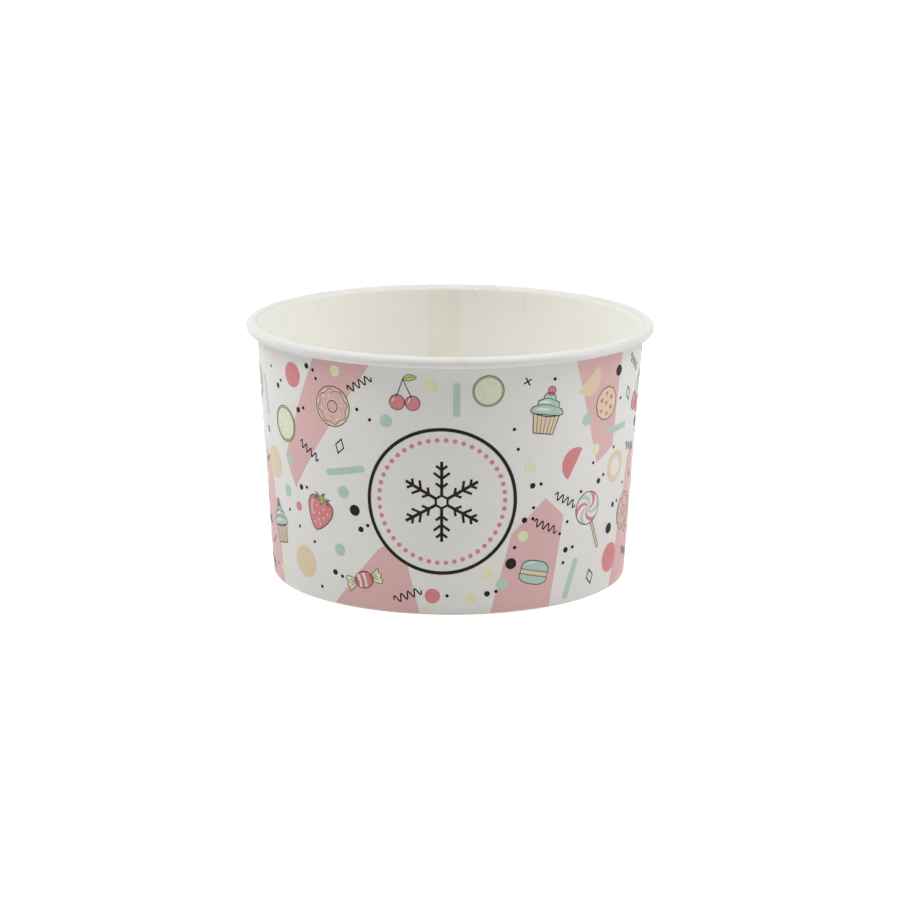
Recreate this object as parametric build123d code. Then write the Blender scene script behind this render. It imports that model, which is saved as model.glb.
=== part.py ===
from build123d import *
import math
import os

# Paper dessert cup in millimetres, +Z up, standing on the fold of its foot at Z = 0.
# The origin is the centre of the foot, the cup's axis is Z and the side seam faces +Y.
# One wound paperboard blank makes the rolled rim, the cone, the lapped seam and the hem.
# A second piece, the base, is a disc with a skirt that is sealed between wall and hem.

# Overall form: the foot's diameter is the wall's outer face carried down to Z = 0
RIM_DIAMETER = 98.0
FOOT_DIAMETER = 85.6
CUP_HEIGHT = 61.7

# Boards, and the heat seal between their layers
WALL_BOARD = 0.38
BASE_BOARD = 0.34
SEAL_GAP = 0.02

# Rolled rim: the curl is open at first, then tightens to tuck its free edge in.
# Angles in the section are taken from straight outward, and upward is 90.
ROLL_RADIUS = 1.42
ROLL_TIGHT_RADIUS = 1.18
ROLL_TIGHTENS_AT = 0.0
ROLL_ENDS_AT = -140.0

# Foot: the board is folded flat under the skirt and stands up inside it as a hem.
# The fold is eased at the wall and pressed square at the hem.
HEM_HEIGHT = 6.4
FOLD_RADIUS = 0.08
SKIRT_LIFT = 0.12

# Base: a flat floor, a bend and a skirt
FLOOR_HEIGHT = 8.2
BASE_BEND_RADIUS = 0.75

# Side seam, as angles about the axis: where the outer ply's cut edge lies outside,
# where the inner ply's cut edge lies inside, and the sheet's climb over that edge.
# Sealing presses the outer ply this far into the inner one.
SEAM_OUTER_EDGE = 86.9
SEAM_INNER_EDGE = 97.0
SEAM_CLIMB = 3.0
SEAM_PRESS = 0.06

# A round stretch of a section is drawn as chords that turn by no more than this
LARGEST_TURN = 48.0


# Wall line

def wall_lean():
    """Lean of the wall that makes its outer face tangent to the inside of the roll."""
    run = RIM_DIAMETER / 2 - ROLL_RADIUS - FOOT_DIAMETER / 2
    rise = CUP_HEIGHT - ROLL_RADIUS
    reach = math.hypot(run, rise)
    return math.atan2(run, rise) - math.asin((ROLL_RADIUS - WALL_BOARD) / reach)


LEAN = wall_lean()
LEAN_DEGREES = math.degrees(LEAN)


def on_wall(depth, z):
    """Point at a height, on the line that lies at a depth inside the wall's outer face."""
    return (FOOT_DIAMETER / 2 + z * math.tan(LEAN) - depth / math.cos(LEAN), z)


def around(centre, radius, *angles):
    """Points on a circle in the section, at angles from straight outward."""
    turns = [math.radians(angle) for angle in angles]
    return [
        (centre[0] + radius * math.cos(turn), centre[1] + radius * math.sin(turn))
        for turn in turns
    ]


def curl(centre, radius, *angles):
    """Points along a round stretch that passes through each of the angles."""
    stops = [angles[0]]
    for start, end in zip(angles, angles[1:]):
        chords = math.ceil(abs(end - start) / LARGEST_TURN)
        stops += [start + (end - start) * (chord + 1) / chords for chord in range(chords)]
    return around(centre, radius, *stops)


# Layers between the wall's outer face and the hem: board, seal, skirt, seal
skirt_depth = WALL_BOARD + SEAL_GAP
hem_depth = skirt_depth + BASE_BOARD + SEAL_GAP


# Wound blank: one sheet that follows one path

roll_centre = (RIM_DIAMETER / 2 - ROLL_RADIUS, CUP_HEIGHT - ROLL_RADIUS)
[tight_centre] = around(roll_centre, ROLL_RADIUS - ROLL_TIGHT_RADIUS, ROLL_TIGHTENS_AT)
fold_centre = on_wall(WALL_BOARD + FOLD_RADIUS, WALL_BOARD + FOLD_RADIUS)


def sheet_path(offset):
    """Points along the blank, from the roll's free edge over the wall to the hem's.

    The offset is measured through the board, from the face that touches the food.
    """
    tight = curl(tight_centre, ROLL_TIGHT_RADIUS - offset, ROLL_ENDS_AT, ROLL_TIGHTENS_AT)
    roll = curl(roll_centre, ROLL_RADIUS - offset, ROLL_TIGHTENS_AT, 90, 180 - LEAN_DEGREES)
    eased_fold = around(fold_centre, FOLD_RADIUS + offset, -LEAN_DEGREES, -90)
    square_fold = on_wall(hem_depth + offset, WALL_BOARD - offset)
    hem_edge = on_wall(hem_depth + offset, HEM_HEIGHT)
    return tight[:-1] + roll + eased_fold + [square_fold, hem_edge]


def section_between(one_side, other_side):
    """Closed face between two paths, with a straight cut edge at each end."""
    return make_face(Polyline(*one_side, *reversed(other_side), close=True))


def section_plane(angle):
    """Plane through the axis at an angle about it: x is the radius and y the height."""
    turn = math.radians(angle)
    return Plane(
        origin=(0, 0, 0),
        x_dir=(math.cos(turn), math.sin(turn), 0),
        z_dir=(math.sin(turn), -math.cos(turn), 0),
    )


def ply_section(near, angle):
    """Section of the blank at an angle, where its food side lies at an offset."""
    section = section_between(sheet_path(near), sheet_path(near + WALL_BOARD))
    return section_plane(angle) * section


def make_side_wall():
    """The blank, wound once round, climbing over its own first edge to the lapped seam."""
    lapped = WALL_BOARD - SEAM_PRESS
    climb_start = SEAM_INNER_EDGE + SEAM_CLIMB
    lap = SEAM_INNER_EDGE - SEAM_OUTER_EDGE
    inner_ply = revolve(ply_section(0, climb_start), Axis.Z, 360 - SEAM_CLIMB)
    climb = loft([ply_section(lapped, SEAM_INNER_EDGE), ply_section(0, climb_start)], ruled=True)
    outer_ply = revolve(ply_section(lapped, SEAM_OUTER_EDGE), Axis.Z, lap)
    return inner_ply + split(climb + outer_ply, bisect_by=Plane.XY, keep=Keep.TOP)


# Base

bend_outer = BASE_BEND_RADIUS + BASE_BOARD
bend_centre = on_wall(skirt_depth + bend_outer, FLOOR_HEIGHT - bend_outer)


def base_path(offset):
    """Points along the base, from the axis to the skirt's edge, offset from the food side."""
    bend = curl(bend_centre, bend_outer - offset, 90, -LEAN_DEGREES)
    skirt_edge = on_wall(skirt_depth + offset, WALL_BOARD + SKIRT_LIFT)
    return [(0, FLOOR_HEIGHT - offset)] + bend + [skirt_edge]


def make_base():
    """The disc and its skirt, turned about the axis."""
    section = section_between(base_path(0), base_path(BASE_BOARD))
    return revolve(section_plane(0) * section, Axis.Z, 360)


# One file for each piece

pieces = {
    "side_wall": make_side_wall(),
    "base": make_base(),
}

os.makedirs("parts", exist_ok=True)
for name, piece in pieces.items():
    export_step(piece, f"parts/{name}.step")
    print(name, "solids", len(piece.solids()), "volume", round(piece.volume, 2))
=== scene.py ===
import random
from itertools import accumulate
from math import asin, atan2, ceil, cos, degrees, dist, floor, hypot, pi, radians, sin, tan

import bpy
from mathutils import Matrix, Vector
from mathutils.geometry import delaunay_2d_cdt


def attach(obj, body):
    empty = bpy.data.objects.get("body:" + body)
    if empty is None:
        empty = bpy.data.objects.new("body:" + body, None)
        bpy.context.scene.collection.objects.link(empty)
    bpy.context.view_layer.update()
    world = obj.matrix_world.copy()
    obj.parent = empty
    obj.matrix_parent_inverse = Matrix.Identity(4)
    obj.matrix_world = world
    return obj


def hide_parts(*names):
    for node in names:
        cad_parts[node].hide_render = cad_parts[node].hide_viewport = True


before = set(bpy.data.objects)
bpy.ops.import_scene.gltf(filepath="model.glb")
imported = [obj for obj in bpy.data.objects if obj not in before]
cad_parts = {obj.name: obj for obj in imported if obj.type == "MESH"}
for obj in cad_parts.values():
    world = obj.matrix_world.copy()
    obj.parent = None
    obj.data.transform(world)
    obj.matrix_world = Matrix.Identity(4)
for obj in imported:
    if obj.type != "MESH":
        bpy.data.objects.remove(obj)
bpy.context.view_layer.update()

# Paper dessert cup, worked out in millimetres and built in metres.
# The board and its print start as a flat blank: x is the angle from the front in
# radians, y the length along the section and z the depth through the board.
# Geometry Nodes then wind the blank round the cup.
MM = 0.001

# Sizes of the CAD model
RIM_DIAMETER = 98.0
FOOT_DIAMETER = 85.6
CUP_HEIGHT = 61.7
WALL_BOARD = 0.38
BASE_BOARD = 0.34
SEAL_GAP = 0.02
ROLL_RADIUS = 1.42
ROLL_TIGHT_RADIUS = 1.18
ROLL_TIGHTENS_AT = 0.0
ROLL_ENDS_AT = -140.0
HEM_HEIGHT = 6.4
FOLD_RADIUS = 0.08
SKIRT_LIFT = 0.12
FLOOR_HEIGHT = 8.2
BASE_BEND_RADIUS = 0.75

# The seam faces +Y: the blank's first edge is lapped outside its last one, which is pressed
# thin. These are angles from the front, and the gap that the print's films pass in the lap.
OUTER_EDGE = -183.1
LAP_THINS = 182.5
CLIMB_ENDS = -171.0
INNER_EDGE = 187.0
LAP_GAP = 0.01
PRINT_ENDS = 176.9

# How far the cup strays from true, the noise's scale, and the heights or radii where it fades
OVAL, OVAL_FROM = 0.16, 40.0
WALL_SWAY, WALL_SWAY_SCALE, SWAYS_ABOVE_HEM = 0.05, 55.0, (9.0, 24.0)
RIM_SWAY, RIM_SWAY_SCALE = 0.05, 30.0
FLOOR_SWAY, DOME_SCALE, DOME_FADES = 0.07, 38.0, (26.0, 39.0)

# Soft knocks: angle, height, half width in degrees, half height and push outward in mm
DENTS = [
    (30.0, 56.5, 3.2, 2.2, -0.16),
    (31.5, 59.5, 5.0, 1.6, 0.10),
    (-64.0, 31.0, 9.0, 8.0, -0.10),
    (118.0, 40.0, 10.0, 9.0, -0.14),
    (-128.0, 24.0, 8.0, 6.0, -0.08),
]

# Creases pressed into the food side below the rim: angle, height, lean and bow in degrees,
# half width in degrees, half height and push outward in mm
CREASES = [
    (171.2, 58.8, 0.5, 0.5, 0.33, 1.9, -0.26),
    (155.8, 58.4, 0.4, 0.3, 0.33, 1.6, -0.24),
]

# Steps of the mesh. The wall's rows are close down to one height, and its columns near a
# crease.
BOARD_STEP, CREASED_STEP, FLAT_STEP, DISC_STEP = 1.5, 0.5, 1.0, 1.6
FOLD_STEP = 15
CREASED_TO, CREASE_REACH = 52.0, 1.5

# Print
FILM = 0.010
BEAD_SIDES = 16
MESH_STEP = 1.2
LOW = 0.42
HIGH = 60.1
LAP_LOW = 0.9


# Section of the cup

def wall_lean():
    run = RIM_DIAMETER / 2 - ROLL_RADIUS - FOOT_DIAMETER / 2
    rise = CUP_HEIGHT - ROLL_RADIUS
    return atan2(run, rise) - asin((ROLL_RADIUS - WALL_BOARD) / hypot(run, rise))


LEAN = wall_lean()
LEAN_DEGREES = degrees(LEAN)


def wall_radius(height, depth=0.0):
    """Radius at a height of the line that lies at a depth inside the wall's outer face."""
    return FOOT_DIAMETER / 2 + height * tan(LEAN) - depth / cos(LEAN)


def on_wall(depth, height):
    return (wall_radius(height, depth), height)


def even(start, end, steps):
    """Values at even steps from start to end, with both."""
    return [start + (end - start) * i / steps for i in range(steps + 1)]


def span(start, end, step):
    """Values about a step apart, from start and without the end."""
    return even(start, end, max(1, round((end - start) / step)))[:-1]


def polar(radius, turn, x=0.0, y=0.0):
    """The point at a radius and a turn from a middle."""
    return (x + radius * cos(radians(turn)), y + radius * sin(radians(turn)))


def bend(centre, radius, start, end, step=7.5):
    """Points on a round stretch of a section, at angles from straight outward."""
    steps = max(2, ceil(abs(end - start) / step))
    return [polar(radius, turn, *centre) for turn in even(start, end, steps)]


def straight(start, end, step):
    """Points between two ends, with one close to each so that the stretch stays straight."""
    length = dist(start, end)
    steps = max(1, round(length / step))
    near = 0.02 * min(1.0, length)
    stops = [near] + [length * i / steps for i in range(1, steps)] + [length - near]
    return [tuple(a + (b - a) * stop / length for a, b in zip(start, end)) for stop in stops]


def joined(*stretches):
    """One path of stretches, without doubled points."""
    path = []
    for stretch in stretches:
        path += [p for p in stretch if not path or dist(p, path[-1]) > 1e-4]
    return path


def lengths_along(path):
    return list(accumulate(map(dist, path, path[1:]), initial=0.0))


hem_depth = WALL_BOARD + SEAL_GAP + BASE_BOARD + SEAL_GAP
roll_centre = (RIM_DIAMETER / 2 - ROLL_RADIUS, CUP_HEIGHT - ROLL_RADIUS)
tight_centre = bend(
    roll_centre, ROLL_RADIUS - ROLL_TIGHT_RADIUS, ROLL_TIGHTENS_AT, ROLL_TIGHTENS_AT)[0]


def wall_path():
    """Food side of the wound blank, from the roll's free edge to the hem's, and the wall's top."""
    roll = bend(tight_centre, ROLL_TIGHT_RADIUS, ROLL_ENDS_AT, ROLL_TIGHTENS_AT)
    roll += bend(roll_centre, ROLL_RADIUS, ROLL_TIGHTENS_AT, 180 - LEAN_DEGREES)[1:]
    fold_height = WALL_BOARD + FOLD_RADIUS
    outer_centre = on_wall(fold_height, fold_height)
    inner_centre = on_wall(hem_depth - FOLD_RADIUS, fold_height)
    outer_fold = bend(outer_centre, FOLD_RADIUS, -LEAN_DEGREES, -90, FOLD_STEP)
    inner_fold = bend(inner_centre, FOLD_RADIUS, -90, -180 - LEAN_DEGREES, FOLD_STEP)
    below_creases = on_wall(WALL_BOARD, CREASED_TO)
    hem_edge = on_wall(hem_depth, HEM_HEIGHT)
    path = joined(
        roll, straight(roll[-1], below_creases, CREASED_STEP),
        straight(below_creases, outer_fold[0], BOARD_STEP), outer_fold,
        straight(outer_fold[-1], inner_fold[0], FLAT_STEP), inner_fold,
        straight(inner_fold[-1], hem_edge, BOARD_STEP), [hem_edge])
    return path, lengths_along(roll)[-1], roll[-1]


def base_path():
    """Food side of the base, from the axis to the skirt's edge."""
    skirt_depth = WALL_BOARD + SEAL_GAP
    radius = BASE_BEND_RADIUS + BASE_BOARD
    middle = (0.0, FLOOR_HEIGHT)
    round_edge = bend(on_wall(skirt_depth + radius, FLOOR_HEIGHT - radius), radius,
                      90, -LEAN_DEGREES)
    skirt_edge = on_wall(skirt_depth, WALL_BOARD + SKIRT_LIFT)
    return joined([middle], straight(middle, round_edge[0], DISC_STEP), round_edge,
                  straight(round_edge[-1], skirt_edge, BOARD_STEP), [skirt_edge])


wall_section, wall_top_length, wall_top = wall_path()
base_section = base_path()


def length_at(height):
    """Length along the wall's section at a height of its outer face."""
    food_height = height + WALL_BOARD * sin(LEAN)
    return wall_top_length + (wall_top[1] - food_height) / cos(LEAN)


def metres(values):
    return [value * MM for value in values]


def placed(name, data):
    thing = bpy.data.objects.new(name, data)
    bpy.context.scene.collection.objects.link(thing)
    return thing


# Helpers for node trees

class Nodes:
    """Adds nodes to a tree. A feed is another node's socket or a plain value."""

    def __init__(self, tree):
        self.tree = tree

    def add(self, kind, *feeds, at=None, **settings):
        node = self.tree.nodes.new(kind)
        for name, value in settings.items():
            setattr(node, name, value)
        for key, feed in list(enumerate(feeds)) + list((at or {}).items()):
            if isinstance(feed, bpy.types.NodeSocket):
                self.tree.links.new(feed, node.inputs[key])
            elif feed is not None:
                node.inputs[key].default_value = feed
        return node

    def out(self, kind, *feeds, **settings):
        """A new node's first output."""
        return self.add(kind, *feeds, **settings).outputs[0]

    def calc(self, kind, *feeds, clamp=False):
        return self.out("ShaderNodeMath", *feeds, operation=kind, use_clamp=clamp)

    def plus(self, a, b):
        return self.calc("ADD", a, b)

    def minus(self, a, b):
        return self.calc("SUBTRACT", a, b)

    def times(self, first, *rest):
        for feed in rest:
            first = self.calc("MULTIPLY", first, feed)
        return first

    def over(self, a, b):
        return self.calc("DIVIDE", a, b)

    def hill(self, a, b):
        """1 where both are nothing, and soon nothing where either passes 1."""
        spread = self.plus(self.times(a, a), self.times(b, b))
        return self.calc("EXPONENT", self.times(spread, -1.0))

    def rise(self, value, low, high, start=0.0, end=1.0):
        """Start up to the value low, end from the value high on."""
        return self.out("ShaderNodeMapRange", value, low, high, start, end,
                        interpolation_type="SMOOTHSTEP")

    def blend(self, factor, a, b):
        return self.out("ShaderNodeMix", factor, at={2: a, 3: b}, data_type="FLOAT")

    def tint(self, factor, a, b, kind="MIX"):
        return self.add("ShaderNodeMix", factor, at={6: a, 7: b}, data_type="RGBA",
                        blend_type=kind).outputs[2]

    def shaded(self, colour, shade):
        grey = self.out("ShaderNodeCombineColor", shade, shade, shade)
        return self.tint(1.0, colour, grey, "MULTIPLY")

    def split(self, vector):
        return self.add("ShaderNodeSeparateXYZ", vector).outputs

    def vector(self, x, y, z):
        return self.out("ShaderNodeCombineXYZ", x, y, z)

    def length(self, vector):
        return self.add("ShaderNodeVectorMath", vector, operation="LENGTH").outputs["Value"]

    def noise(self, vector, scale, detail=2.0, roughness=0.5):
        return self.out("ShaderNodeTexNoise", vector, None, scale, detail, roughness)

    def mottle(self, vector, scale, low, high, roughness=0.5):
        """Noise that runs between two values."""
        return self.rise(self.noise(vector, scale, 2.0, roughness), 0.3, 0.7, low, high)


def new_tree(name, inputs):
    """A geometry tree with named inputs, its nodes, and the group input's sockets by name."""
    tree = bpy.data.node_groups.new(name, "GeometryNodeTree")
    for label, kind in [("Geometry", "Geometry")] + inputs:
        tree.interface.new_socket(label, in_out="INPUT", socket_type="NodeSocket" + kind)
    tree.interface.new_socket("Geometry", in_out="OUTPUT", socket_type="NodeSocketGeometry")
    nodes = Nodes(tree)
    return tree, nodes, nodes.add("NodeGroupInput").outputs


def made_by(name, mesh, tree, values):
    """The plain mesh that a tree makes of a flat one with these input values."""
    piece = placed(name, mesh)
    modifier = piece.modifiers.new("wind", "NODES")
    modifier.node_group = tree
    for socket in tree.interface.items_tree:
        if socket.in_out == "INPUT" and socket.name in values:
            modifier[socket.identifier] = values[socket.name]
    graph = bpy.context.evaluated_depsgraph_get()
    made = bpy.data.meshes.new_from_object(
        piece.evaluated_get(graph), preserve_all_data_layers=True, depsgraph=graph)
    piece.modifiers.clear()
    piece.data = made
    for index in reversed(range(len(made.materials))):
        if made.materials[index] is None:
            made.materials.pop(index=index)
    made.name = name
    made.set_sharp_from_angle(angle=radians(40))
    return piece


# Winding round the cup

def numbers(*names):
    return [(name, "Float") for name in names]


WINDING_INPUTS = [("Section", "Object")] + numbers(
    "Board", "Lap", "Oval", "Knocks", "Wall Sway", "Rim Sway", "Floor Sway")


def make_winding():
    """Group that takes a flat blank to its place on the cup."""
    tree, n, given = new_tree("wind_round_the_cup", WINDING_INPUTS)
    angle, length, depth = n.split(n.out("GeometryNodeInputPosition"))
    bearing = n.calc("DEGREES", angle)

    # Lapped share: the blank climbs over its own last edge, which is pressed thin
    lapped = n.rise(bearing, LAP_THINS - 360, CLIMB_ENDS, 1.0, 0.0)
    thinned = n.rise(bearing, LAP_THINS, CLIMB_ENDS + 360, 1.0, 0.0)
    full_depth = n.plus(n.times(depth, thinned), n.times(lapped, given["Lap"]))

    section = n.add("GeometryNodeObjectInfo", given["Section"]).outputs["Geometry"]
    sample = n.add("GeometryNodeSampleCurve", section, at={"Length": length}, mode="LENGTH",
                   use_all_curves=False)
    out_to, up_to, _ = n.split(sample.outputs["Position"])
    outward, upward, _ = n.split(sample.outputs["Tangent"])
    radius = n.minus(out_to, n.times(upward, full_depth))
    height = n.plus(up_to, n.times(outward, full_depth))

    # The seam's two layers are pressed to one board's height at the foot
    pressed = n.over(n.times(lapped, 2.0), n.plus(lapped, 1.0))
    squeeze = n.calc("MAXIMUM", pressed, n.rise(bearing, PRINT_ENDS - 4, PRINT_ENDS))
    halfway = n.times(n.plus(height, given["Lap"]), 0.5)
    height = n.blend(squeeze, height, n.calc("MAXIMUM", height, halfway))

    # Slow unevenness, the same through the board's whole depth
    mid = n.vector(n.times(out_to, n.calc("SINE", angle)),
                   n.times(out_to, n.calc("COSINE", angle)), up_to)
    above_hem = n.rise(height, *metres(SWAYS_ABOVE_HEM))
    near_rim = n.rise(height, OVAL_FROM * MM, CUP_HEIGHT * MM)
    inner = n.rise(out_to, *metres(DOME_FADES), 1.0, 0.0)
    sway = n.minus(n.noise(mid, WALL_SWAY_SCALE), 0.5)
    out = n.times(sway, given["Wall Sway"], above_hem)
    two_lobes = n.calc("SINE", n.times(angle, 2.0))
    out = n.plus(out, n.times(two_lobes, given["Oval"], near_rim))
    dome = n.minus(n.noise(mid, DOME_SCALE, 1.0), 0.45)
    lip = n.minus(n.noise(mid, RIM_SWAY_SCALE, 1.0), 0.5)
    up = n.plus(n.times(dome, given["Floor Sway"], inner),
                n.times(lip, given["Rim Sway"], near_rim))

    for spot_angle, spot_height, width, tall, push in DENTS:
        across = n.over(n.minus(bearing, spot_angle), width)
        along = n.over(n.minus(height, spot_height * MM), tall * MM)
        dent = n.times(n.hill(across, along), n.times(given["Knocks"], push))
        out = n.plus(out, n.times(dent, above_hem))
    to_food = n.minus(1.0, n.over(depth, given["Board"]))
    for crease_angle, crease_height, lean, bow, width, tall, push in CREASES:
        along = n.over(n.minus(height, crease_height * MM), tall * MM)
        square = n.times(along, along)
        line = n.plus(n.plus(crease_angle, n.times(along, lean)), n.times(square, bow))
        across = n.over(n.minus(bearing, line), width)
        crease = n.times(n.hill(across, square), to_food)
        out = n.plus(out, n.times(crease, n.times(given["Knocks"], push)))

    radius = n.plus(radius, out)
    place = n.vector(n.times(radius, n.calc("SINE", angle)),
                     n.times(radius, n.times(n.calc("COSINE", angle), -1.0)), n.plus(height, up))
    wound = n.out("GeometryNodeSetPosition", given["Geometry"], None, place)
    n.add("NodeGroupOutput", wound)
    return tree


def add_winding(n, given, flat, winding):
    """The winding group on a flat mesh, fed by the tree's own inputs."""
    feeds = {name: given[name] for name, kind in WINDING_INPUTS}
    feeds["Geometry"] = flat
    return n.out("GeometryNodeGroup", at=feeds, node_tree=winding)


def finish_tree(n, given, mesh):
    smooth = n.out("GeometryNodeSetShadeSmooth", mesh, None, True)
    real = n.out("GeometryNodeRealizeInstances", smooth)
    painted = n.out("GeometryNodeSetMaterial", real, None, given["Material"])
    n.add("NodeGroupOutput", painted)


def make_wound_tree(name, winding, sealed):
    """Winds a flat mesh, and seals it where its ends meet."""
    tree, n, given = new_tree(name, WINDING_INPUTS + [("Material", "Material")])
    wound = add_winding(n, given, given["Geometry"], winding)
    if sealed:
        wound = n.out("GeometryNodeMergeByDistance", wound, None, 1e-6)
    finish_tree(n, given, wound)
    return tree


def make_bead_tree(winding):
    """Lays a ring of beads of ink on the wall, round a spot on it."""
    sizes = numbers("Ring Radius", "Bead Radius", "Spot Angle", "Spot Length", "Wall Radius",
                    "Film", "Layer")
    inputs = WINDING_INPUTS + [("Count", "Int")] + sizes + [("Material", "Material")]
    tree, n, given = new_tree("ring_of_beads", inputs)
    ring = n.out("GeometryNodeMeshCircle", given["Count"], given["Ring Radius"])
    bead = n.out("GeometryNodeMeshCylinder", BEAD_SIDES, 1, 1, given["Bead Radius"], given["Film"])
    beads = n.out("GeometryNodeInstanceOnPoints", ring, None, bead)
    real = n.out("GeometryNodeRealizeInstances", beads)
    x, y, z = n.split(n.out("GeometryNodeInputPosition"))
    angle = n.plus(given["Spot Angle"], n.over(x, given["Wall Radius"]))
    length = n.minus(given["Spot Length"], y)
    depth = n.plus(given["Layer"], z)
    flat = n.vector(angle, length, depth)
    flat = n.out("GeometryNodeSetPosition", real, None, flat)
    finish_tree(n, given, add_winding(n, given, flat, winding))
    return tree


def make_section(name, path):
    """A section as a curve: x is the radius and y the height."""
    curve = bpy.data.curves.new(name, "CURVE")
    curve.dimensions = "3D"
    spline = curve.splines.new("POLY")
    spline.points.add(len(path) - 1)
    for point, (radius, height) in zip(spline.points, path):
        point.co = (radius * MM, height * MM, 0, 1)
    return placed(name, curve)


def make_slab(name, angles, lengths, board, seam):
    """A flat closed slab of board, with its food side marked and its cut edges."""
    section = [(length * MM, 0.0) for length in lengths]
    section += [(length * MM, board * MM) for length in reversed(lengths)]
    points = [(radians(angle), *corner) for angle in angles for corner in section]
    rows, around = len(lengths), len(section)
    last = len(points) - around
    faces, food, cut = [], [], []
    for here in range(0, last, around):
        there = here + around
        for k in range(around):
            after = (k + 1) % around
            faces.append((here + k, there + k, there + after, here + after))
            food.append(float(k < rows - 1))
            cut.append(float(k in (rows - 1, around - 1)))
    if seam:
        for start, way in ((0, 1), (last, -1)):
            for k in range(rows - 1):
                loop = (start + k, start + k + 1, start + around - 2 - k, start + around - 1 - k)
                faces.append(loop[::way])
                food.append(0.0)
                cut.append(1.0)
    mesh = bpy.data.meshes.new(name)
    mesh.from_pydata(points, [], faces)
    for label, values in (("food_side", food), ("cut_edge", cut)):
        mesh.attributes.new(label, "FLOAT", "FACE").data.foreach_set("value", values)
    return mesh


# Flat shapes of the print, in mm: x to the right and y up

def disc(radius, x=0.0, y=0.0, start=0.0, end=360.0):
    """A disc's outline, or a part of it closed by its chord."""
    share = abs(end - start) / 360
    steps = max(14, round(2 * pi * radius * share / 0.5))
    turns = even(start, end, steps)[:steps if share == 1 else None]
    return [polar(radius, turn, x, y) for turn in turns]


def turned(points, turn, x=0.0, y=0.0):
    """The points turned about the origin, then moved to a place."""
    c, s = cos(radians(turn)), sin(radians(turn))
    return [(x + a * c - b * s, y + a * s + b * c) for a, b in points]


def oval(across, tall, x=0.0, y=0.0, turn=0.0):
    return turned([(across * a, tall * b) for a, b in disc(1.0)], turn, x, y)


def ripple(radius, depth, waves, x=0.0, y=0.0):
    """A round outline with soft waves in it."""
    loop = []
    for t in even(0, 2 * pi, max(30, waves * 8))[:-1]:
        r = radius + depth * cos(waves * t)
        loop.append((x + r * cos(t), y + r * sin(t)))
    return loop


def both_sides(points):
    """The points, then their mirror images from right to left of the middle."""
    return points + [(-x, y) for x, y in reversed(points) if x]


def soft(points, closed=True, steps=6):
    """A soft line through a few points."""
    count = len(points)
    line = []
    for i in range(count if closed else count - 1):
        near = [points[(i + k) % count if closed else min(max(i + k, 0), count - 1)]
                for k in (-1, 0, 1, 2)]
        for step in range(steps):
            t = step / steps
            line.append(tuple(
                0.5 * (2 * b + (c - a) * t + (2 * a - 5 * b + 4 * c - d) * t * t
                       + (3 * b - a - 3 * c + d) * t ** 3) for a, b, c, d in zip(*near)))
    return line if closed else line + [points[-1]]


def sweep(points):
    """A soft line that stays open."""
    return soft(points, closed=False)


def capsule(length, width, x=0.0, y=0.0, turn=0.0):
    """A bar with round ends, lying across."""
    half, r = (length - width) / 2, width / 2
    return turned(disc(r, half, 0, -90, 90) + disc(r, -half, 0, 90, 270), turn, x, y)


def wave(length, height, waves):
    """A soft wavy line, lying across."""
    steps = waves * 12
    return [(length * (i / steps - 0.5), height * sin(2 * pi * waves * i / steps))
            for i in range(steps + 1)]


def stepped(points, closed, step=0.8):
    """The same line with points no further apart than a step."""
    line = []
    ends = zip(points, points[1:] + points[:1]) if closed else zip(points, points[1:])
    for a, b in ends:
        count = max(1, ceil(dist(a, b) / step))
        line += [(a[0] + (b[0] - a[0]) * i / count, a[1] + (b[1] - a[1]) * i / count)
                 for i in range(count)]
    return line if closed else line + [points[-1]]


def inside(x, y, loops):
    """Whether a point lies in an odd number of the loops."""
    odd = False
    for loop in loops:
        for (ax, ay), (bx, by) in zip(loop, loop[1:] + loop[:1]):
            if (ay > y) != (by > y) and x < ax + (y - ay) * (bx - ax) / (by - ay):
                odd = not odd
    return odd


def twice_area(a, b, c):
    """Twice a triangle's area, and below 0 where it turns clockwise."""
    return (b[0] - a[0]) * (c[1] - a[1]) - (b[1] - a[1]) * (c[0] - a[0])


def grid_between(values):
    at = floor(min(values) / MESH_STEP) * MESH_STEP + MESH_STEP
    while at < max(values):
        yield at
        at += MESH_STEP


def filled(loops, keep_out=()):
    """Triangles that fill the loops, small enough to follow the wall."""
    points, edges = [], []
    for loop in (*loops, *keep_out):
        loop = stepped(loop, True)
        first = len(points)
        points += loop
        edges += [(first + i, first + (i + 1) % len(loop)) for i in range(len(loop))]
    xs, ys = zip(*points)
    points += [(x, y) for x in grid_between(xs) for y in grid_between(ys) if inside(x, y, loops)]
    made = delaunay_2d_cdt([Vector(p) for p in points], edges, [], 0, 1e-5)
    corners, kept = [tuple(p) for p in made[0]], []
    for face in made[2]:
        a, b, c = (corners[i] for i in face)
        mx, my = (a[0] + b[0] + c[0]) / 3, (a[1] + b[1] + c[1]) / 3
        if (abs(twice_area(a, b, c)) >= 1e-5 and inside(mx, my, loops)
                and not inside(mx, my, keep_out)):
            kept.append(tuple(face))
    return corners, kept


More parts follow.
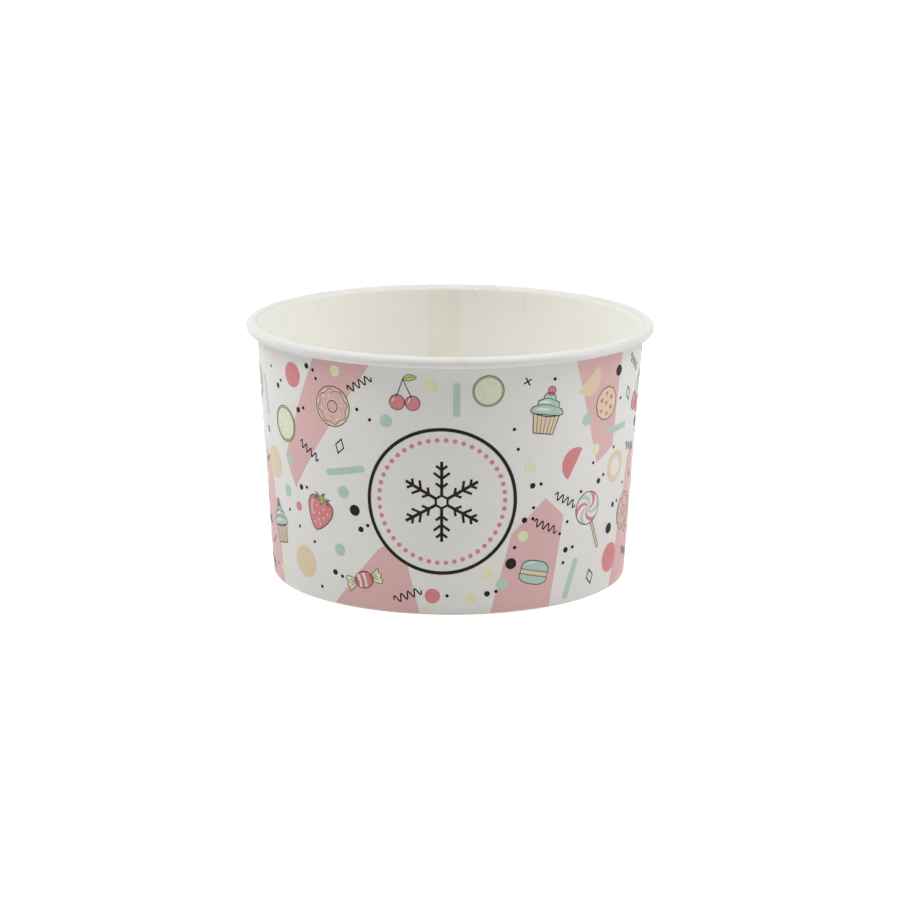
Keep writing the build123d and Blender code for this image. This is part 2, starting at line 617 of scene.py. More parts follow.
def ribbon(points, width, closed):
    """Quads along a line, mitred at its corners."""
    line = stepped(points, closed)
    count = len(line)
    corners = []
    for i, (x, y) in enumerate(line):
        before = line[i - 1] if closed or i else line[0]
        after = line[(i + 1) % count] if closed or i < count - 1 else line[-1]
        back = Vector((x - before[0], y - before[1]))
        ahead = Vector((after[0] - x, after[1] - y))
        back = (back if back.length > 1e-9 else ahead).normalized()
        ahead = (ahead if ahead.length > 1e-9 else back).normalized()
        way = back + ahead
        way = way.normalized() if way.length > 1e-6 else ahead
        reach = width / 2 / max(0.45, way.dot(ahead))
        side = Vector((-way.y, way.x)) * reach
        corners += [(x + side.x, y + side.y), (x - side.x, y - side.y)]
    faces = []
    for i in range(count if closed else count - 1):
        a, b = 2 * i, 2 * ((i + 1) % count)
        faces.append((a, a + 1, b + 1, b))
    return corners, faces


# Films of ink

# Layers, counted so that the underside of the first one lies a little in the board
FIELD, SHAPE, TREAT, DETAIL, TOP, LINE = 1, 2, 3, 4, 5, 6
FIRST_LAYER = 1.3

# Widths of line, and of the bars
MARK_LINE, GLINT, OUTLINE, THIN, FINE, HAIR = 0.34, 0.3, 0.2, 0.16, 0.14, 0.12
BAR_WIDTH = 1.6


class Print:
    """Flat shapes on the blank, gathered by ink."""

    def __init__(self):
        self.inks, self.place = {}, None

    def go_to(self, angle, height, turn=0.0, size=1.0):
        """Puts what comes next at this place on the blank."""
        c, s = cos(radians(turn)), sin(radians(turn))

        def place(x, y):
            across, up = size * (x * c - y * s), size * (x * s + y * c)
            z = height + up * cos(LEAN)
            return radians(angle) + across / wall_radius(z), length_at(z)
        self.place = place

    def put(self, ink, layer, shape):
        """A closed film of this shape: its underside, top and edge."""
        corners, faces = shape
        points, kept = self.inks.setdefault(ink, ([], []))
        used = sorted({i for face in faces for i in face})
        number = {corner: k for k, corner in enumerate(used)}
        under, top = len(points), len(points) + len(used)
        level = WALL_BOARD + FILM * (layer - FIRST_LAYER)
        for depth in (level, level + FILM):
            for corner in used:
                angle, length = self.place(*corners[corner])
                points.append((angle, length * MM, depth * MM))
        rim = {}
        for face in faces:
            up = twice_area(*(corners[i] for i in face[:3])) > 0
            ring = [number[i] for i in (face if up else reversed(face))]
            kept.append(tuple(top + i for i in ring))
            kept.append(tuple(under + i for i in reversed(ring)))
            for edge in zip(ring, ring[1:] + ring[:1]):
                if rim.pop(edge[::-1], None) is None:
                    rim[edge] = True
        kept += [(under + i, under + j, top + j, top + i) for i, j in rim]

    def area(self, ink, layer, *loops, keep_out=()):
        self.put(ink, layer, filled(loops, keep_out))

    def line(self, ink, layer, points, width, closed=False):
        self.put(ink, layer, ribbon(points, width, closed))

    def outline(self, points, width=OUTLINE):
        """A closed black line over the rest."""
        self.line("black", LINE, points, width, closed=True)

    def edged(self, ink, layer, points, width=OUTLINE):
        """An area with a black line round it."""
        self.area(ink, layer, points)
        self.outline(points, width)

    def stroke(self, points, width=OUTLINE):
        """An open black line over the rest."""
        self.line("black", LINE, points, width)


# Treats

def doughnut(p):
    p.area("tan", TREAT, disc(5.0), disc(1.5))
    icing = ripple(4.2, 0.3, 8)
    p.area("rose", DETAIL, icing, disc(1.95))
    for i, ink in enumerate(["lime", "white", "mint", "coral", "white", "lime", "mint"] * 2):
        x, y = polar(2.7 + 0.75 * (i % 2), 26 * i)
        p.area(ink, TOP, capsule(0.85, 0.3, x, y, 67 * i))
    p.outline(disc(5.0))
    p.outline(disc(1.5))
    p.outline(icing, FINE)


def strawberry(p):
    body = soft(both_sides([(0, -4.9), (-2.3, -3.0), (-3.9, 0.2), (-3.5, 2.5), (-1.6, 3.3),
                            (0, 3.0)]))
    shine = soft([(-2.9, 1.9), (-3.1, 0.4), (-2.2, -1.8), (-1.9, -1.5), (-2.5, 0.5), (-2.4, 1.8)])
    p.area("rose", DETAIL, shine)
    cap = []
    for i in range(12):
        t = radians(90 + 30 * i)
        r = 2.5 if i % 2 == 0 else 0.9
        cap.append((1.15 * r * cos(t), 3.2 + 0.62 * r * sin(t)))
    p.area("leaf", TOP, cap)
    for x, y in [(-1.2, 0.9), (1.1, 1.0), (2.6, 0.4), (0, -0.5), (-1.5, -1.2), (1.6, -1.1),
                 (0.2, -2.2), (-0.7, -3.2), (1.0, -3.0)]:
        p.area("lime", TOP, oval(0.17, 0.3, x, y))
    p.edged("coral", TREAT, body)
    p.outline(cap, THIN)
    p.stroke(sweep([(0, 3.3), (0.1, 4.2), (0.7, 4.9)]))


def cherries(p):
    leaf = soft([(0.5, 4.6), (1.7, 5.6), (3.4, 5.5), (4.6, 4.4), (3.1, 3.9), (1.7, 3.9)])
    p.edged("leaf", TREAT, leaf, THIN)
    p.stroke(sweep([(0.5, 4.6), (2.2, 4.9), (3.6, 4.7)]), HAIR)
    for x, y, r in [(-2.5, -2.0, 2.3), (2.1, -2.9, 2.2)]:
        p.edged("coral", TREAT, disc(r, x, y))
        p.line("white", DETAIL, disc(r * 0.62, x, y, 110, 165), GLINT)
        p.stroke(sweep([(x, y + r * 0.8), (x * 0.62 + 0.1, 1.2), (0.5, 4.7)]), 0.26)


def macaron(p):
    top = sweep(both_sides([(-4.3, 0.8), (-4.1, 2.2), (-2.6, 3.3), (0, 3.6)]))
    bottom = [(x, -y * 0.86) for x, y in reversed(top)]
    cream = soft([(-3.9, 0.7), (-4.2, 0), (-3.9, -0.6), (3.9, -0.6), (4.2, 0), (3.9, 0.7)])
    p.area("tan", DETAIL, cream)
    p.line("white", DETAIL, sweep([(-2.9, 2.2), (-1.7, 2.8), (-0.4, 3.0)]), GLINT)
    frill = [(x * 0.995, y + 0.72) for x, y in wave(8.6, 0.17, 9)]
    p.stroke(frill, FINE)
    p.stroke([(x, y - 1.36) for x, y in frill], FINE)
    for half in (top, bottom):
        p.area("mint", TREAT, half)
        p.stroke(half)
    for x, y in ((-4.3, 0.8), (4.3, 0.8)):
        p.stroke(sweep([(x, y), (x * 0.98, 0.05), (x, -y * 0.86)]), THIN)


def sweet(p):
    wing = [(2.4, 0.8), (5.6, 2.5), (5.2, 1.3), (6.0, 0.4), (5.3, -0.4), (5.9, -1.3),
            (5.0, -2.3), (2.4, -0.8)]
    for side in (1, -1):
        fan = [(side * x, side * y) for x, y in wing]
        p.edged("lime", TREAT, fan, THIN)
        for y in (0.9, 0.05, -0.8):
            p.stroke([(side * 2.9, side * y * 0.35), (side * 4.6, side * y)], HAIR)
    for x in (-1.5, 0.3):
        band = soft([(x - 0.5, -1.9), (x - 0.1, -0.4), (x - 0.3, 1.9), (x + 0.35, 1.8),
                     (x + 0.5, 0), (x + 0.1, -2.0)])
        p.area("white", TOP, band)
    p.edged("coral", DETAIL, oval(3.0, 2.5))


def lollipop(p):
    stick = [(-0.4, -3.8), (-0.4, -12.0), (0.4, -12.0), (0.4, -3.8)]
    p.area("tan", TREAT, [stick[0], stick[3], stick[2], stick[1]])
    p.stroke(stick, THIN)
    for k in range(6):
        arm = []
        for edge, lead in ((range(13), 0), (range(12, 0, -1), 27)):
            for i in edge:
                arm.append(polar(4.15 * i / 12, 60 * k + lead + 95 * i / 12))
        p.area("coral" if k % 2 else "mint", TOP, arm)
    p.edged("white", DETAIL, disc(4.2))


def cupcake(p):
    case = [(-3.5, -0.1), (3.5, -0.1), (2.6, -4.6), (-2.6, -4.6)]
    for k in range(-2, 3):
        p.stroke([(1.18 * k, -0.2), (0.88 * k, -4.6)], HAIR)
    p.edged("tan", TREAT, case)
    swirl = soft(both_sides([(-4.1, 0.2), (-3.9, 1.4), (-2.9, 1.9), (-2.8, 3.0), (-1.7, 3.5),
                             (-1.4, 4.5), (0, 5.2)]) + [(0, -0.5)])
    p.area("white", TOP, soft([(-2.5, 2.6), (-1.1, 3.2), (0.6, 2.9), (-0.9, 2.6)]))
    p.area("white", TOP, soft([(-3.3, 0.9), (-1.5, 1.5), (0.9, 1.1), (-1.3, 0.8)]))
    p.edged("mint", DETAIL, swirl)
    p.stroke(sweep([(-2.9, 1.9), (-0.6, 2.3), (2.4, 1.8)]), FINE)
    p.stroke(sweep([(-1.7, 3.5), (0, 3.8), (1.4, 3.3)]), FINE)
    p.edged("coral", TOP, disc(1.05, 0.1, 5.6), THIN)


def citrus(p):
    p.area("leaf", TREAT, disc(4.5), disc(4.0))
    p.area("white", TREAT, disc(4.0))
    for k in range(8):
        wedge = [(0.55, 0)] + [polar(3.5, turn) for turn in even(-17, 17, 6)]
        p.area("lime", DETAIL, turned(wedge, 45 * k + 12))
    p.outline(disc(4.5))
    p.outline(disc(4.0), HAIR)


def biscuit(p):
    edge = ripple(4.1, 0.09, 11)
    for x, y, r in [(-1.7, 1.6, 0.55), (0.6, 2.4, 0.45), (2.2, 0.6, 0.55), (-0.2, 0.2, 0.5),
                    (-2.6, -0.9, 0.45), (1.3, -1.7, 0.55), (-0.8, -2.5, 0.5)]:
        p.area("berry", DETAIL, ripple(r, 0.06, 5, x, y))
    p.edged("tan", TREAT, edge)


# How far each treat reaches from its middle, and where the lollipop's middle is
REACH = {
    doughnut: 5.2, strawberry: 5.0, cherries: 5.2, macaron: 4.8, sweet: 5.8,
    lollipop: 7.0, cupcake: 6.0, citrus: 4.8, biscuit: 4.4,
}
LOLLIPOP_MIDDLE = 3.5

# Treat, angle from the front, height, turn and size
TREAT_SPOTS = [
    (doughnut, -36, 48, 10, 0.95), (strawberry, -43, 22, -18, 1), (cherries, -13, 52.5, 10, 0.78),
    (sweet, -27, 7.2, 18, 0.82), (cupcake, 29, 47, -10, 1), (lollipop, 47, 22.5, 24, 0.95),
    (macaron, 27, 9, -14, 0.85), (citrus, 11, 53.5, 0, 0.8), (biscuit, 53, 47, 20, 0.95),
    (citrus, -58, 41, 30, 0.95), (cupcake, -66, 15, 12, 0.95), (doughnut, 71, 18, 40, 0.9),
    (lollipop, -82, 48, -20, 0.95), (cherries, 77, 46, -8, 0.95), (strawberry, 97, 27, 14, 1),
    (sweet, 113, 49, -22, 0.95), (macaron, 122, 16, 10, 0.95), (cupcake, 143, 43, -6, 1),
    (biscuit, 152, 14, 0, 1), (doughnut, -160, 45, 20, 0.95), (citrus, -147, 18, 0, 1),
    (cherries, -131, 43, 12, 1), (lollipop, -112, 28, 22, 1), (macaron, -93, 12, -12, 0.9),
    (strawberry, 166, 30, -14, 0.9), (sweet, -160, 26, 16, 0.8),
]

# Badge, its ring and its beads, and how near to its middle a field may touch it
BADGE_ANGLE, BADGE_HEIGHT, BADGE_RADIUS = -2.2, 27.4, 17.6
RING_WIDTH = 0.84
BEADS, BEAD_RING, BEAD_RADIUS = 46, 14.7, 0.55
NEAR_BADGE = 50

# Large fields of rose: corners as angle from the front and height
FIELDS = [
    [(-42, HIGH), (-22, HIGH), (-54, 26), (-59, 33)],
    [(-38, LOW), (-9, LOW), (-15, 19), (-22, 15)],
    [(13, LOW), (33, LOW), (37, 22), (30, 27), (19, 19)],
    [(38, HIGH), (60, HIGH), (58, 36), (50, 33)],
    [(63, LOW), (84, LOW), (77, 35), (71, 31)],
    [(86, HIGH), (108, HIGH), (91, 29), (86, 35)],
    [(104, LOW), (128, LOW), (133, 26), (125, 30)],
    [(132, HIGH), (153, HIGH), (160, 34), (152, 31)],
    [(163, LOW), (170, LOW), (171, LAP_LOW), (PRINT_ENDS, LAP_LOW),
     (PRINT_ENDS, 25), (174, 29)],
    [(OUTER_EDGE, LAP_LOW), (-178, LAP_LOW), (-179.5, 20), (OUTER_EDGE, 25)],
    [(-166, HIGH), (-144, HIGH), (-152, 30), (-157, 34)],
    [(-136, LOW), (-118, LOW), (-122, 31), (-128, 27)],
    [(-116, HIGH), (-95, HIGH), (-100, 40), (-106, 36)],
    [(-90, LOW), (-66, LOW), (-71, 29), (-78, 33)],
]

# Flat discs, rings and half discs by ink: kind, angle, height, turn and size
SHAPES = {
    "tan": [
        ("disc", -68, 30, 0, 4), ("disc", -51, 8.5, 0, 3.9), ("ring", 61, 30.5, 0, 3.9),
        ("half", 44, 54, -140, 4.2), ("disc", 88, 12, 0, 4.2), ("ring", 110, 33, 0, 3.8),
        ("half", 160, 52, 200, 4.4), ("disc", -140, 33, 0, 4.2), ("ring", -96, 30, 0, 3.8),
    ],
    "coral": [
        ("half", 40.5, 34, 60, 4), ("disc", -5, 4.6, 0, 1.8), ("disc", 61.5, 8, 0, 3.6),
        ("half", 126, 44, 20, 4.2), ("disc", -164, 36.5, 0, 3), ("half", -108, 10, -30, 4.2),
        ("disc", -52.5, 53.5, 0, 3),
    ],
}

# Mint bars: angle, height, turn and length
BARS = [
    (2, 51.5, 90, 8), (41, 6, 72, 10), (-32.5, 33, 12, 11), (60, 40, 0, 10), (138, 25, 70, 12),
    (-160, 11, 15, 11), (-120, 50, 80, 11), (-72, 46, 100, 10),
]

# Small marks that a seeded draw scatters between the rest: kind, ink, size and count
SCATTER = [
    ("squiggle", "black", 7.0, 22), ("dot", "lime", 1.35, 18), ("dot", "mint", 1.5, 18),
    ("diamond", "black", 2.3, 14), ("dot", "black", 1.35, 20), ("plus", "black", 2.2, 16),
    ("dot", "coral", 1.15, 8), ("pair", "black", 0.7, 34), ("dot", "black", 0.42, 60),
]
SCATTER_HEIGHTS, SCATTER_GAP = (3.2, 56.5), 0.9
MEAN_RADIUS = 45.0


def draw_shapes(p):
    for ink, rows in SHAPES.items():
        for kind, angle, height, turn, size in rows:
            loops = {"disc": [disc(size)], "ring": [disc(size), disc(size * 0.62)],
                     "half": [disc(size, 0, 0, 0, 180)]}
            p.go_to(angle, height, turn)
            p.area(ink, SHAPE, *loops[kind])
    for angle, height, turn, length in BARS:
        p.go_to(angle, height, turn)
        p.area("mint", SHAPE, capsule(length, BAR_WIDTH))


def add_mark(p, ink, kind, angle, height, turn, size):
    p.go_to(angle, height, turn)
    if kind == "dot":
        p.area(ink, TREAT, disc(size))
    elif kind == "pair":
        p.area(ink, TREAT, disc(size))
        p.area(ink, TREAT, disc(size * 0.62, 2.1, 0.5))
    elif kind == "squiggle":
        p.line(ink, TREAT, wave(size, 0.85, 4), MARK_LINE)
    elif kind == "diamond":
        corners = [(size * 0.5, 0), (0, size * 0.8), (-size * 0.5, 0), (0, -size * 0.8)]
        p.line(ink, TREAT, corners, GLINT, closed=True)
    else:
        p.line(ink, TREAT, [(-size / 2, 0), (size / 2, 0)], MARK_LINE)
        p.line(ink, TREAT, [(0, -size / 2), (0, size / 2)], MARK_LINE)


def ice_crystal(p):
    """Six arms with three pairs of twigs each, round a small hexagon."""
    hexagon = []
    for turn in range(30, 390, 60):
        p.line("black", TREAT, turned([(1.5, 0), (9.6, 0)], turn), 0.72)
        for start, reach in ((3.4, 1.7), (5.5, 2.3), (7.6, 1.6)):
            for side in (1, -1):
                tip = (start + reach * 0.62, side * reach * 0.8)
                p.line("black", TREAT, turned([(start, 0), tip], turn), 0.6)
        hexagon += turned([(1.55, 0)], turn)
    p.line("black", TREAT, hexagon, 0.55, closed=True)


def draw_fields(p):
    """The rose fields, which stop at the badge."""
    for corners in FIELDS:
        middle = sum(angle for angle, height in corners) / len(corners)
        outline = [(radians(angle - middle) * wall_radius(height), height / cos(LEAN))
                   for angle, height in corners]
        shift = radians(BADGE_ANGLE - middle) * wall_radius(BADGE_HEIGHT)
        badge = disc(BADGE_RADIUS, shift, BADGE_HEIGHT / cos(LEAN))
        near = abs(shift) < NEAR_BADGE
        p.go_to(middle, 0.0)
        p.area("rose", FIELD, outline, keep_out=[badge] if near else ())


def along(angle, height, turn, length):
    """The place at a length from another one, in a direction from straight across."""
    lead = radians(turn)
    return (angle + degrees(length * cos(lead) / MEAN_RADIUS),
            height + length * sin(lead))


def taken_places():
    """Angle, height and reach of the badge, the shapes and the treats."""
    taken = [(BADGE_ANGLE, BADGE_HEIGHT, BADGE_RADIUS + 0.4)]
    for rows in SHAPES.values():
        taken += [(angle, height, size) for kind, angle, height, turn, size in rows]
    for angle, height, turn, length in BARS:
        taken += [(*along(angle, height, turn, share * length), length * 0.18)
                  for share in (-0.35, 0, 0.35)]
    for treat, angle, height, turn, size in TREAT_SPOTS:
        if treat is lollipop:
            angle, height = along(angle, height, turn - 90, LOLLIPOP_MIDDLE)
        taken.append((angle, height, REACH[treat] * size))
    return taken


def scatter_marks(p):
    """Draws places for the small marks until each lies clear of the rest."""
    taken = taken_places()
    drawn = random.Random(11)
    for kind, ink, size, count in SCATTER:
        reach = {"squiggle": size * 0.48, "pair": size * 2.3}.get(kind, size)
        laid = 0
        for attempt in range(4000):
            if laid == count:
                break
            angle = drawn.uniform(CLIMB_ENDS + 5, PRINT_ENDS - 6)
            height = drawn.uniform(*SCATTER_HEIGHTS)
            turn = drawn.uniform(-35, 35)
            if all(hypot(radians(angle - a) * MEAN_RADIUS, height - h)
                   > reach + r + SCATTER_GAP for a, h, r in taken):
                add_mark(p, ink, kind, angle, height, turn, size)
                taken.append((angle, height, reach))
                laid += 1


def draw_print():
    """Everything printed on the wall but the badge's beads."""
    p = Print()
    draw_fields(p)
    draw_shapes(p)
    for treat, *where in TREAT_SPOTS:
        p.go_to(*where)
        treat(p)
    scatter_marks(p)
    p.go_to(BADGE_ANGLE, BADGE_HEIGHT)
    p.line("black", DETAIL, disc(BADGE_RADIUS - RING_WIDTH / 2), RING_WIDTH, closed=True)
    ice_crystal(p)
    return p


# Materials

PAPER_WHITE = (0.74, 0.732, 0.712, 1)
# The food side's cream is also painted far lighter than the outside's white: painted light for the
# inside of the cup
FOOD_CREAM_PAINTED_BRIGHT = (0.948, 0.943, 0.888, 1)
RAW_BOARD = (0.74, 0.66, 0.54, 1)
INKS = {
    "rose": (0.66, 0.41, 0.412, 1), "tan": (0.70, 0.56, 0.39, 1),
    "mint": (0.41, 0.56, 0.49, 1), "lime": (0.69, 0.72, 0.46, 1), "leaf": (0.48, 0.61, 0.22, 1),
    "coral": (0.60, 0.198, 0.212, 1), "berry": (0.50, 0.18, 0.20, 1),
    "black": (0.016, 0.0125, 0.008, 1), "white": PAPER_WHITE,
}
PAPER_GLOSS, INK_GLOSS = 0.35, 0.5
GLOSS = {"black": 0.12, "white": PAPER_GLOSS}

# Heights and radii between which the food side's cream and its painted brightening end, and the
# worn fold's heights
CREAM_ENDS_UP, CREAM_ENDS_OUT, WORN_FOLD = (60.7, 61.3), (46.9, 47.3), (0.10, 0.55)

# The lap seen inside, with painted shade where two plies let less light through and a painted
# # pink of the print that light shows through: x over y from the axis at both ends of its step, of
# # its ragged fading and of its pinkish tint, how far the fading wanders, the heights between
# # which the tint grows, and the two colours
LAP_STEP, LAP_FADES, LAP_PINK = (-0.1228, -0.1218), (0.036, 0.072), (-0.05, 0.025)
LAP_WANDERS, PINKER_UP = 0.012, (44, 55)
# Painted shade of the double-ply lap, and the painted pink of print seen through it by light
LAP_PAINTED_SHADE, PAINTED_SHOW_THROUGH_PINK = (0.93378, 0.916596, 0.84804, 1), (0.9243, 0.88642, 0.83472, 1)


def new_material(name):
    material = bpy.data.materials.new(name)
    material.use_nodes = True
    material.node_tree.nodes.clear()
    return material, Nodes(material.node_tree)


def paper_surface(n, where, colour, roughness, gloss):
    """Coated paper with a bump of its fibres and of the coat's faint mottle."""
    fibres = n.times(n.noise(where, 2600.0, 3.0, 0.6), 0.45)
    mottle = n.times(n.noise(where, 420.0, 2.0), 0.55)
    bump = n.out("ShaderNodeBump", at={
        "Strength": 0.25, "Distance": 0.04 * MM, "Height": n.plus(fibres, mottle)})
    shader = n.out("ShaderNodeBsdfPrincipled", at={
        "Base Color": colour, "Roughness": roughness, "Normal": bump, "Specular IOR Level": gloss})
    n.add("ShaderNodeOutputMaterial", shader)


def board_material(name):
    """Coated board: white outside, creamier and painted brighter to the food, raw at its cut edges
    and fold.
    """
    material, n = new_material(name)
    where = n.add("ShaderNodeTexCoord").outputs["Object"]
    food, cut = (n.add("ShaderNodeAttribute", attribute_name=mark).outputs["Fac"]
                 for mark in ("food_side", "cut_edge"))
    x, y, height = n.split(where)
    from_axis = n.length(n.vector(x, y, 0.0))
    below_rim = n.times(n.rise(height, *metres(CREAM_ENDS_UP), 1.0, 0.0),
                        n.rise(from_axis, *metres(CREAM_ENDS_OUT), 1.0, 0.0))
    # Creamy coat to the food, painted brighter than the outside to stand in for light inside the
    # cup
    colour = n.tint(n.times(food, below_rim), PAPER_WHITE, FOOD_CREAM_PAINTED_BRIGHT)

    # Painted shade inside where the seam's two plies let less light through, and a painted pink of
    # the print that light shows through them
    behind = n.times(food, n.calc("GREATER_THAN", y, 0.0), below_rim)
    ratio = n.over(x, y)
    ragged = n.plus(ratio, n.mottle(where, 90.0, -LAP_WANDERS, LAP_WANDERS))
    lap = n.times(n.rise(ratio, *LAP_STEP), n.rise(ragged, *LAP_FADES, 1.0, 0.0))
    painted_show_through = n.times(n.rise(ragged, *LAP_PINK), lap, n.rise(height, *metres(PINKER_UP), 0.3, 1.0))
    colour = n.tint(n.times(lap, behind), colour, LAP_PAINTED_SHADE)
    colour = n.tint(n.times(painted_show_through, behind), colour, PAINTED_SHOW_THROUGH_PINK)

    # Clouds and specks, few soft smudges on the food side, and few grey fibres
    shade = n.plus(n.mottle(where, 60.0, 0.985, 1.0),
                   n.rise(n.noise(where, 900.0, 3.0, 0.7), 0.3, 0.75, -0.008, 0.008))
    smudge = n.times(food, n.rise(n.noise(where, 170.0, 1.0), 0.70, 0.80, 0.0, 0.05))
    fleck = n.rise(n.noise(where, 700.0, 1.0), 0.77, 0.80, 0.0, 0.10)
    shade = n.times(shade, n.minus(1.0, smudge), n.minus(1.0, fleck))
    colour = n.shaded(colour, shade)

    worn = n.times(n.rise(height, *metres(WORN_FOLD), 0.8, 0.0),
                   n.rise(n.noise(where, 700.0, 3.0, 0.7), 0.3, 0.65))
    bare = n.calc("MAXIMUM", cut, worn, clamp=True)
    colour = n.tint(bare, colour, RAW_BOARD)
    roughness = n.blend(bare, n.mottle(where, 260.0, 0.46, 0.56), 0.85)
    paper_surface(n, where, colour, roughness, PAPER_GLOSS)
    return material


def ink_material(ink):
    """Ink on board: its density is mottled and pin-holed over the board's fibres."""
    material, n = new_material("ink_" + ink)
    where = n.add("ShaderNodeTexCoord").outputs["Object"]
    shade = n.plus(n.mottle(where, 75.0, 0.97, 1.02), n.mottle(where, 2300.0, -0.03, 0.03, 0.7))
    colour = n.shaded(INKS[ink], shade)
    thin = n.rise(n.noise(where, 1300.0, 3.0, 0.65), 0.66, 0.78, 0.0, 0.14)
    colour = n.tint(thin, colour, PAPER_WHITE)
    paper_surface(n, where, colour, n.mottle(where, 260.0, 0.44, 0.54), GLOSS.get(ink, INK_GLOSS))
    return material


# Pieces

def column_angles():
    """Angles of the wall's columns: finer at the seam's slopes, and finest at the creases."""
    angles = span(OUTER_EDGE, LAP_THINS - 360, 1.0) + span(LAP_THINS - 360, CLIMB_ENDS, 0.5)
    start = CLIMB_ENDS
    for crease in sorted(CREASES):
        near, past = crease[0] - CREASE_REACH, crease[0] + CREASE_REACH
        angles += span(start, near, 1.0) + span(near, past, 0.2)
        start = past
    return angles + span(start, LAP_THINS, 1.0) + span(LAP_THINS, INNER_EDGE, 0.5) + [INNER_EDGE]


def build_cup():
    winding = make_winding()
    board_tree = make_wound_tree("wind_board", winding, True)
    print_tree = make_wound_tree("lay_ink", winding, False)
    bead_tree = make_bead_tree(winding)
    wall_curve = make_section("wall_section", wall_section)
    base_curve = make_section("base_section", base_section)
    wound = {
        "Section": wall_curve, "Board": WALL_BOARD * MM, "Lap": (WALL_BOARD + LAP_GAP) * MM,
        "Oval": OVAL * MM, "Knocks": MM, "Wall Sway": 2 * WALL_SWAY * MM,
        "Rim Sway": 2 * RIM_SWAY * MM, "Floor Sway": 0.0,
    }
    still = dict.fromkeys(("Lap", "Oval", "Knocks", "Wall Sway", "Rim Sway"), 0.0)

    board = board_material("wall_board_coated")
    slab = make_slab("side_wall_flat", column_angles(), lengths_along(wall_section), WALL_BOARD,
                     True)
    wall = made_by("wound_wall", slab, board_tree, dict(wound, Material=board))
    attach(wall, "root")
    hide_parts("side_wall")

    board = board_material("base_board_coated")
    slab = make_slab("base_flat", span(-180.0, 180.0, 2.0) + [180.0],
                     lengths_along(base_section), BASE_BOARD, False)
    values = dict(still, Section=base_curve, Board=BASE_BOARD * MM, Material=board)
    values["Floor Sway"] = 2 * FLOOR_SWAY * MM
    base = made_by("base_disc", slab, board_tree, values)
    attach(base, "root")
    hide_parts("base")

    drawn = draw_print()
    materials = {ink: ink_material(ink) for ink in INKS}
    for ink, (points, faces) in drawn.inks.items():
        mesh = bpy.data.meshes.new("print_flat_" + ink)
        mesh.from_pydata(points, [], faces)
        piece = made_by("print_" + ink, mesh, print_tree, dict(wound, Material=materials[ink]))
        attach(piece, "root")
    values = dict(wound, Count=BEADS, Film=FILM * MM, Layer=(WALL_BOARD + FILM * 2.0) * MM,
                  Material=materials["coral"])
    values.update({
        "Ring Radius": BEAD_RING * MM, "Bead Radius": BEAD_RADIUS * MM,
        "Spot Angle": radians(BADGE_ANGLE), "Spot Length": length_at(BADGE_HEIGHT) * MM,
        "Wall Radius": wall_radius(BADGE_HEIGHT) * MM,
    })
    piece = made_by("print_badge_beads", bpy.data.meshes.new("beads_flat"), bead_tree, values)
    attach(piece, "root")
    for curve in (wall_curve, base_curve):
        bpy.data.objects.remove(curve)


# Setting

CAMERA_DISTANCE = 0.6899
CAMERA_PITCH = 13.14
CAMERA_ROLL = 0.264
CAMERA_TARGET = Vector((0, 0, 0.03085))
CAMERA_LENS = 113.45
CAMERA_SHIFT = (0.00064, -0.00780)

# Soft lamps: place, size, power and colour
PLAIN, WARM = (1.0, 1.0, 1.0), (1.0, 0.95, 0.84)
LAMPS = [
    ("high_left_softbox", (-0.55, -0.05, 0.85), 0.6, 6.35, PLAIN),
    ("high_right_softbox", (0.55, -0.05, 0.85), 0.6, 5.6, PLAIN),
    ("front_softbox", (0.0, -0.9, 0.5), 0.8, 1.55, WARM),
    ("low_left_softbox", (-0.75, -0.05, 0.16), 0.28, 0.32, PLAIN),
    ("low_right_softbox", (0.75, -0.05, 0.16), 0.28, 1.0, PLAIN),
    ("low_back_left_softbox", (-0.6, 0.45, 0.16), 0.28, 0.72, PLAIN),
]
AMBIENT = 0.06

# Floor: half its width, what it throws back, how much of that shows a shadow, and its
# glow, which rises to white between two distances from the cup
FLOOR_REACH = 4.0
FLOOR_BOUNCE, FLOOR_SHADOW = 0.9, 0.3
FLOOR_GLOW = (0.06, 0.2, 0.84, 1.0)


def make_camera():
    data = bpy.data.cameras.new("camera")
    data.sensor_width = 36.0
    data.lens = CAMERA_LENS
    data.shift_x, data.shift_y = CAMERA_SHIFT
    data.clip_start, data.clip_end = 0.01, 50.0
    camera = placed("camera", data)
    pitch = radians(CAMERA_PITCH)
    away = Vector((0, -cos(pitch), sin(pitch)))
    facing = Matrix.Rotation(radians(90) - pitch, 4, "X")
    roll = Matrix.Rotation(radians(CAMERA_ROLL), 4, "Z")
    place = Matrix.Translation(CAMERA_TARGET + away * CAMERA_DISTANCE)
    camera.matrix_world = place @ facing @ roll
    bpy.context.scene.camera = camera


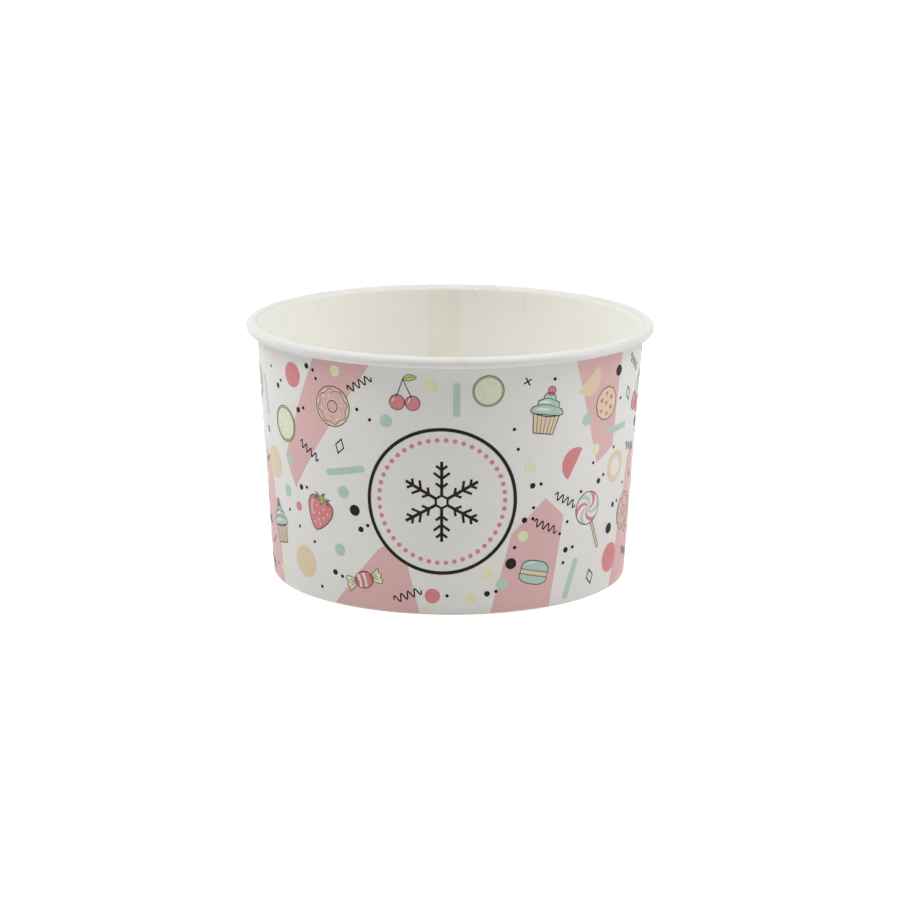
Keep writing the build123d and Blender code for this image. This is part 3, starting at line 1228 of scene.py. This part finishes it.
def make_lamps():
    for name, place, size, power, colour in LAMPS:
        data = bpy.data.lights.new(name, "AREA")
        data.shape = "SQUARE"
        data.size = size
        data.energy = power
        data.color = colour
        lamp = placed(name, data)
        lamp.location = place
        lamp.visible_camera = False
        lamp.rotation_mode = "QUATERNION"
        lamp.rotation_quaternion = (CAMERA_TARGET - Vector(place)).to_track_quat("-Z", "Y")


def seen_directly(n):
    """1 for what the camera sees, itself or in a reflection."""
    path = n.add("ShaderNodeLightPath").outputs
    seen = n.calc("MAXIMUM", path["Is Camera Ray"], path["Is Glossy Ray"])
    return n.calc("MAXIMUM", seen, path["Is Transmission Ray"])


def make_floor():
    """A floor that looks white with a faint shadow, and that is clear from below."""
    mesh = bpy.data.meshes.new("floor")
    r = FLOOR_REACH
    mesh.from_pydata([(-r, -r, 0), (r, -r, 0), (r, r, 0), (-r, r, 0)], [], [(0, 1, 2, 3)])
    piece = placed("floor", mesh)
    material, n = new_material("studio_floor")
    plain, shadowed = (n.out("ShaderNodeBsdfDiffuse", (share, share, share, 1))
                       for share in (FLOOR_BOUNCE, FLOOR_SHADOW))
    where = n.add("ShaderNodeTexCoord").outputs["Object"]
    glow = n.rise(n.length(where), *FLOOR_GLOW)
    glow = n.out("ShaderNodeEmission", (1, 1, 1, 1), glow)
    seen = n.out("ShaderNodeAddShader", shadowed, glow)
    surface = n.out("ShaderNodeMixShader", seen_directly(n), plain, seen)
    under = n.add("ShaderNodeNewGeometry").outputs["Backfacing"]
    clear = n.out("ShaderNodeBsdfTransparent")
    surface = n.out("ShaderNodeMixShader", under, surface, clear)
    n.add("ShaderNodeOutputMaterial", surface)
    mesh.materials.append(material)


def make_world():
    world = bpy.data.worlds.new("studio")
    bpy.context.scene.world = world
    world.use_nodes = True
    world.node_tree.nodes.clear()
    n = Nodes(world.node_tree)
    dim, white = (n.out("ShaderNodeBackground", (1, 1, 1, 1), strength)
                  for strength in (AMBIENT, 1.0))
    light = n.out("ShaderNodeMixShader", seen_directly(n), dim, white)
    n.add("ShaderNodeOutputWorld", light)


build_cup()
make_camera()
make_lamps()
make_floor()
make_world()
bpy.context.scene.view_settings.view_transform = "Standard"
